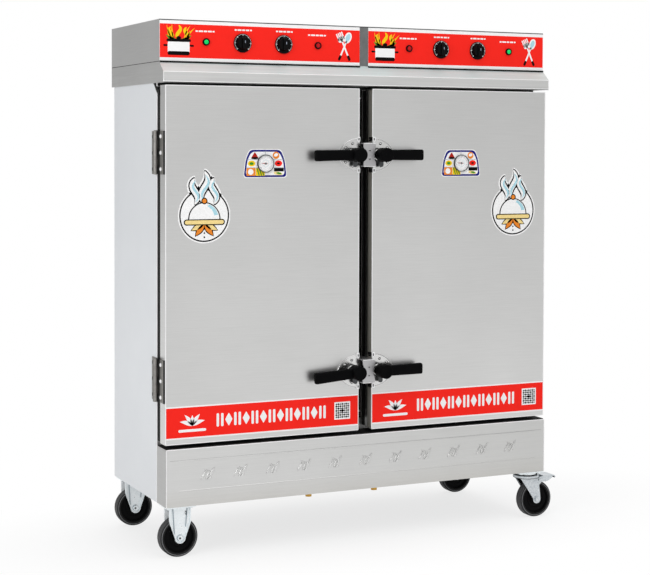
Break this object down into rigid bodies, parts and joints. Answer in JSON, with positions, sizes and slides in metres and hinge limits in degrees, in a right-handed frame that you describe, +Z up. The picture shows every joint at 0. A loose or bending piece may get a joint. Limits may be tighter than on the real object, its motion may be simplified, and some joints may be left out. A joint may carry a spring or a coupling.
{
  "type": "rice steamer cabinet",
  "caption": "Free-standing steel steamer cabinet on casters with insulated hinged doors, rotary latches, control panel with knobs on top, and steam chambers with tray runners.",
  "frame": {"origin": "middle of the part's box on the floor", "axes": "+Z up, +X to the right seen from the front, +Y from the doors to the back"},
  "size_m": [1.455, 0.618, 1.681],
  "materials": {
    "back_panel": "satin brushed",
    "base_frame": "satin",
    "body_hinges": "satin",
    "body_insulation": "foam",
    "brake_pedal_back_right": "zinc plated",
    "brake_pedal_front_right": "zinc plated",
    "caster_mounts": "zinc plated",
    "chamber_liner_left": "satin brushed",
    "chamber_liner_right": "satin brushed",
    "collar": "satin brushed",
    "control_box": "satin brushed",
    "control_gear": "matte",
    "door_core_left": "foam",
    "door_core_right": "foam",
    "door_gasket_left": "matte",
    "door_gasket_right": "matte",
    "door_hinge_leaves_left": "satin brushed",
    "door_hinge_leaves_right": "satin brushed",
    "door_inner_panel_left": "satin brushed",
    "door_inner_panel_right": "satin brushed",
    "door_skin_left": "satin brushed",
    "door_skin_right": "satin brushed",
    "element_guards": "satin brushed",
    "fascia_plates": "gloss print",
    "front_frame": "satin brushed",
    "heating_elements": "satin brushed",
    "latch_bases_left": "polished",
    "latch_bases_right": "polished",
    "latch_cam_lower_left": "polished",
    "latch_cam_lower_right": "polished",
    "latch_cam_upper_left": "polished",
    "latch_cam_upper_right": "polished",
    "latch_keepers": "satin brushed",
    "latch_lever_lower_left": "satin",
    "latch_lever_lower_right": "satin",
    "latch_lever_upper_left": "satin",
    "latch_lever_upper_right": "satin",
    "pilot_lamps_green": "gloss",
    "pilot_lamps_red": "gloss",
    "pipe_outlets": "satin",
    "plinth_panel": "satin brushed",
    "side_panel_left": "satin",
    "side_panel_right": "satin",
    "swivel_fork_back_right": "zinc plated",
    "swivel_fork_front_right": "zinc plated",
    "thermometer_left": "satin",
    "thermometer_right": "satin",
    "thermostat_knob_left": "satin",
    "thermostat_knob_right": "satin",
    "timer_knob_left": "satin",
    "timer_knob_right": "satin",
    "tray_racks": "satin brushed",
    "tyre_back_left": "matte",
    "tyre_back_right": "matte",
    "tyre_front_left": "matte",
    "tyre_front_right": "matte",
    "wheel_hub_back_left": "satin",
    "wheel_hub_back_right": "satin",
    "wheel_hub_front_left": "satin",
    "wheel_hub_front_right": "satin"
  },
  "bodies": {
    "cabinet": {"base_frame": "base_frame", "side_panel_left": "side_panel_left", "side_panel_right": "side_panel_right", "back_panel": "back_panel", "control_box": "control_box", "collar": "collar", "fascia_plates": "fascia_plates", "front_frame": "front_frame", "chamber_liner_left": "chamber_liner_left", "chamber_liner_right": "chamber_liner_right", "body_insulation": "body_insulation", "plinth_panel": "plinth_panel", "tray_racks": "tray_racks", "heating_elements": "heating_elements", "element_guards": "element_guards", "pipe_outlets": "pipe_outlets", "control_gear": "control_gear", "pilot_lamps_green": "pilot_lamps_green", "pilot_lamps_red": "pilot_lamps_red", "body_hinges": "body_hinges", "latch_keepers": "latch_keepers", "caster_mounts": "caster_mounts"},
    "door_left": {"door_skin_left": "door_skin_left", "door_core_left": "door_core_left", "door_inner_panel_left": "door_inner_panel_left", "door_gasket_left": "door_gasket_left", "door_hinge_leaves_left": "door_hinge_leaves_left", "latch_bases_left": "latch_bases_left", "thermometer_left": "thermometer_left"},
    "latch_lower_left": {"latch_cam_lower_left": "latch_cam_lower_left", "latch_lever_lower_left": "latch_lever_lower_left"},
    "latch_upper_left": {"latch_cam_upper_left": "latch_cam_upper_left", "latch_lever_upper_left": "latch_lever_upper_left"},
    "door_right": {"door_skin_right": "door_skin_right", "door_core_right": "door_core_right", "door_inner_panel_right": "door_inner_panel_right", "door_gasket_right": "door_gasket_right", "door_hinge_leaves_right": "door_hinge_leaves_right", "latch_bases_right": "latch_bases_right", "thermometer_right": "thermometer_right"},
    "latch_lower_right": {"latch_cam_lower_right": "latch_cam_lower_right", "latch_lever_lower_right": "latch_lever_lower_right"},
    "latch_upper_right": {"latch_cam_upper_right": "latch_cam_upper_right", "latch_lever_upper_right": "latch_lever_upper_right"},
    "timer_knob_left": {"timer_knob_left": "timer_knob_left"},
    "thermostat_knob_left": {"thermostat_knob_left": "thermostat_knob_left"},
    "timer_knob_right": {"timer_knob_right": "timer_knob_right"},
    "thermostat_knob_right": {"thermostat_knob_right": "thermostat_knob_right"},
    "wheel_front_left": {"tyre_front_left": "tyre_front_left", "wheel_hub_front_left": "wheel_hub_front_left"},
    "swivel_front_right": {"swivel_fork_front_right": "swivel_fork_front_right"},
    "wheel_front_right": {"tyre_front_right": "tyre_front_right", "wheel_hub_front_right": "wheel_hub_front_right"},
    "brake_pedal_front_right": {"brake_pedal_front_right": "brake_pedal_front_right"},
    "wheel_back_left": {"tyre_back_left": "tyre_back_left", "wheel_hub_back_left": "wheel_hub_back_left"},
    "swivel_back_right": {"swivel_fork_back_right": "swivel_fork_back_right"},
    "wheel_back_right": {"tyre_back_right": "tyre_back_right", "wheel_hub_back_right": "wheel_hub_back_right"},
    "brake_pedal_back_right": {"brake_pedal_back_right": "brake_pedal_back_right"}
  },
  "joints": [
    {"name": "door_left_hinge", "type": "hinge", "parent": "cabinet", "child": "door_left", "pos_m": [-0.7195, -0.177, 0.916], "axis": [0, 0, -1], "range_deg": [0, 165]},
    {"name": "latch_lower_left_turn", "type": "hinge", "parent": "door_left", "child": "latch_lower_left", "pos_m": [-0.066, -0.26, 0.552], "axis": [0, -1, 0], "range_deg": [0, 84.8]},
    {"name": "latch_upper_left_turn", "type": "hinge", "parent": "door_left", "child": "latch_upper_left", "pos_m": [-0.066, -0.26, 1.26], "axis": [0, -1, 0], "range_deg": [0, 88.8]},
    {"name": "door_right_hinge", "type": "hinge", "parent": "cabinet", "child": "door_right", "pos_m": [0.6825, -0.177, 0.916], "axis": [0, 0, 1], "range_deg": [0, 165]},
    {"name": "latch_lower_right_turn", "type": "hinge", "parent": "door_right", "child": "latch_lower_right", "pos_m": [0.029, -0.26, 0.552], "axis": [0, 1, 0], "range_deg": [0, 90]},
    {"name": "latch_upper_right_turn", "type": "hinge", "parent": "door_right", "child": "latch_upper_right", "pos_m": [0.029, -0.26, 1.26], "axis": [0, 1, 0], "range_deg": [0, 90]},
    {"name": "timer_knob_left_turn", "type": "hinge", "parent": "cabinet", "child": "timer_knob_left", "pos_m": [-0.3, -0.215, 1.6135], "axis": [0, 1, 0], "range_deg": [0, 300]},
    {"name": "thermostat_knob_left_turn", "type": "hinge", "parent": "cabinet", "child": "thermostat_knob_left", "pos_m": [-0.442, -0.215, 1.6135], "axis": [0, 1, 0], "range_deg": [0, 270]},
    {"name": "timer_knob_right_turn", "type": "hinge", "parent": "cabinet", "child": "timer_knob_right", "pos_m": [0.276, -0.215, 1.6135], "axis": [0, 1, 0], "range_deg": [0, 300]},
    {"name": "thermostat_knob_right_turn", "type": "hinge", "parent": "cabinet", "child": "thermostat_knob_right", "pos_m": [0.418, -0.215, 1.6135], "axis": [0, 1, 0], "range_deg": [0, 270]},
    {"name": "wheel_front_left_spin", "type": "hinge", "parent": "cabinet", "child": "wheel_front_left", "pos_m": [-0.6595, -0.214, 0.0625], "axis": [0, 1, 0], "continuous": true},
    {"name": "swivel_front_right_turn", "type": "hinge", "parent": "cabinet", "child": "swivel_front_right", "pos_m": [0.6225, -0.214, 0.142], "axis": [0, 0, 1], "continuous": true},
    {"name": "wheel_front_right_spin", "type": "hinge", "parent": "swivel_front_right", "child": "wheel_front_right", "pos_m": [0.6535, -0.214, 0.0625], "axis": [0, 1, 0], "continuous": true},
    {"name": "brake_pedal_front_right_press", "type": "hinge", "parent": "swivel_front_right", "child": "brake_pedal_front_right", "pos_m": [0.6665, -0.214, 0.132], "axis": [0, 1, 0], "range_deg": [0, 10]},
    {"name": "wheel_back_left_spin", "type": "hinge", "parent": "cabinet", "child": "wheel_back_left", "pos_m": [-0.6595, 0.233, 0.0625], "axis": [0, 1, 0], "continuous": true},
    {"name": "swivel_back_right_turn", "type": "hinge", "parent": "cabinet", "child": "swivel_back_right", "pos_m": [0.6225, 0.233, 0.142], "axis": [0, 0, 1], "continuous": true},
    {"name": "wheel_back_right_spin", "type": "hinge", "parent": "swivel_back_right", "child": "wheel_back_right", "pos_m": [0.5915, 0.233, 0.0625], "axis": [0, 1, 0], "continuous": true},
    {"name": "brake_pedal_back_right_press", "type": "hinge", "parent": "swivel_back_right", "child": "brake_pedal_back_right", "pos_m": [0.5785, 0.233, 0.132], "axis": [0, -1, 0], "range_deg": [0, 10]}
  ]
}
